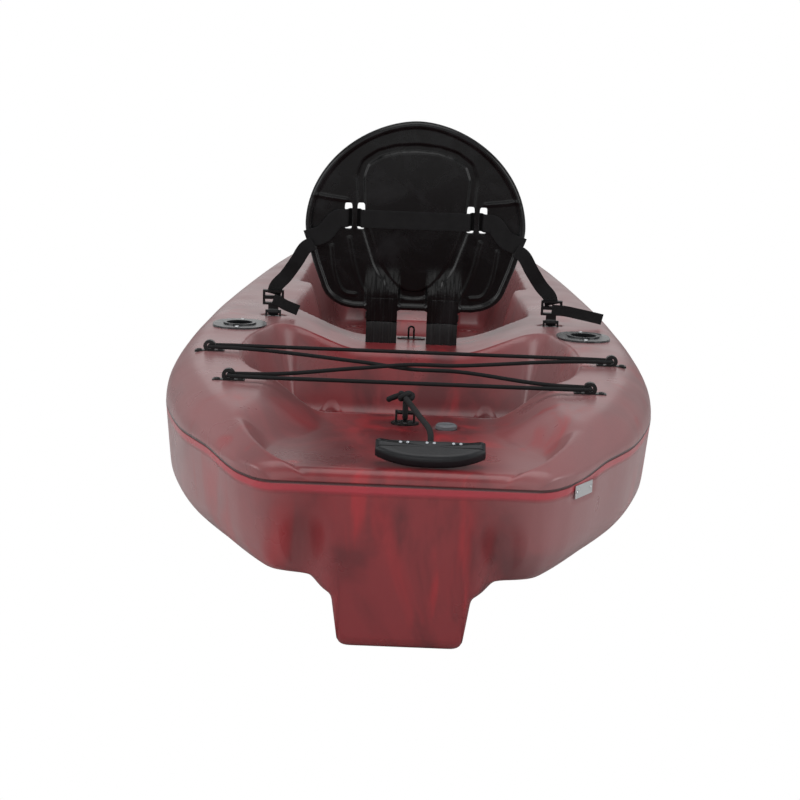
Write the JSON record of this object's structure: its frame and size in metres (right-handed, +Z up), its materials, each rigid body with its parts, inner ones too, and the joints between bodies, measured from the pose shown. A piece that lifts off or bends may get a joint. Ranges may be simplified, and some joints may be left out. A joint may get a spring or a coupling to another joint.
{
  "type": "fishing kayak",
  "caption": "Sit-on-top fishing kayak with a folding seat back, flush rod holders, a stern tank well under a bungee loop, a bow hatch and a rope carrying handle at the stern.",
  "frame": {"origin": "centre of the length and beam, on the keel's flat underside", "axes": "+X starboard, +Y towards the bow, +Z up"},
  "size_m": [0.787, 3.048, 0.6578],
  "materials": {
    "hull_plastic": "semi-gloss marbled wine red",
    "black_plastic": "satin",
    "grey_plastic": "satin",
    "rubber": "matt",
    "rope": "braided",
    "webbing": "woven",
    "pad_cover": "woven",
    "black_metal": "black",
    "steel": "plain"
  },
  "bodies": {
    "hull_body": {"bungee_eye_front_left": "black_plastic", "eye_screw_outer_front_left": "black_metal", "eye_screw_inner_front_left": "black_metal", "bungee_eye_front_right": "black_plastic", "eye_screw_outer_front_right": "black_metal", "eye_screw_inner_front_right": "black_metal", "bungee_eye_rear_left": "black_plastic", "eye_screw_outer_rear_left": "black_metal", "eye_screw_inner_rear_left": "black_metal", "bungee_eye_rear_right": "black_plastic", "eye_screw_outer_rear_right": "black_metal", "eye_screw_inner_rear_right": "black_metal", "bungee": "rubber", "rod_holder_left": "black_plastic", "rod_holder_gasket_left": "rubber", "holder_screw_front_left": "steel", "holder_screw_rear_left": "steel", "rod_holder_right": "black_plastic", "rod_holder_gasket_right": "rubber", "holder_screw_front_right": "steel", "holder_screw_rear_right": "steel", "stern_eye": "black_plastic", "stern_eye_screw_front": "black_metal", "stern_eye_screw_rear": "black_metal", "bow_eye": "black_plastic", "bow_eye_screw_front": "black_metal", "bow_eye_screw_rear": "black_metal", "hatch_ring": "black_plastic", "data_plate": "steel", "plate_rivet_front": "steel", "plate_rivet_rear": "steel", "hinge_leg_left": "black_plastic", "hinge_pin_left": "steel", "hinge_leg_right": "black_plastic", "hinge_pin_right": "steel", "strap_anchor_left": "black_plastic", "strap_anchor_left_screw_front": "black_metal", "strap_anchor_left_screw_rear": "black_metal", "strap_anchor_right": "black_plastic", "strap_anchor_right_screw_front": "black_metal", "strap_anchor_right_screw_rear": "black_metal", "seat_catch": "black_plastic", "hull": "hull_plastic"},
    "backrest": {"seat_panel": "black_plastic", "seat_pad": "pad_cover", "back_webbing": "webbing", "strap_buckle_left": "black_plastic", "side_strap_left": "webbing", "strap_buckle_right": "black_plastic", "side_strap_right": "webbing", "strap_tail_left": "webbing", "strap_tail_right": "webbing"},
    "stern_handle": {"stern_rope": "rope", "stern_grip": "black_plastic"},
    "hatch_lift": {"hatch_seal": "rubber"},
    "hatch_turn": {"hatch_lid": "black_plastic"},
    "drain_lift": {"drain_washer": "rubber"},
    "drain_turn": {"drain_plug": "grey_plastic"}
  },
  "joints": [
    {"name": "seat_fold", "type": "hinge", "parent": "hull_body", "child": "backrest", "pos_m": [0, -0.539, 0.306], "axis": [1, 0, 0], "range_deg": [-80, 0]},
    {"name": "handle_swing", "type": "hinge", "parent": "hull_body", "child": "stern_handle", "pos_m": [-0.004, -1.24649, 0.25832], "axis": [1, 0, 0], "range_deg": [-90, 0]},
    {"name": "hatch_raise", "type": "slide", "parent": "hull_body", "child": "hatch_lift", "axis": [0, -0.0622, 0.9981], "range_m": [0, 0.06]},
    {"name": "hatch_twist", "type": "hinge", "parent": "hatch_lift", "child": "hatch_turn", "pos_m": [0, 1.0765, 0.3321], "axis": [0, -0.0622, 0.9981], "range_deg": [0, 90]},
    {"name": "drain_raise", "type": "slide", "parent": "hull_body", "child": "drain_lift", "axis": [0, -0.0303, 0.9995], "range_m": [0, 0.012]},
    {"name": "drain_twist", "type": "hinge", "parent": "drain_lift", "child": "drain_turn", "pos_m": [0.054, -1.26191, 0.23835], "axis": [0, -0.0303, 0.9995], "range_deg": [0, 1080]}
  ],
  "couplings": [
    {"joint": "drain_twist", "follows": "drain_raise", "rad_per_m": 1570.8}
  ]
}
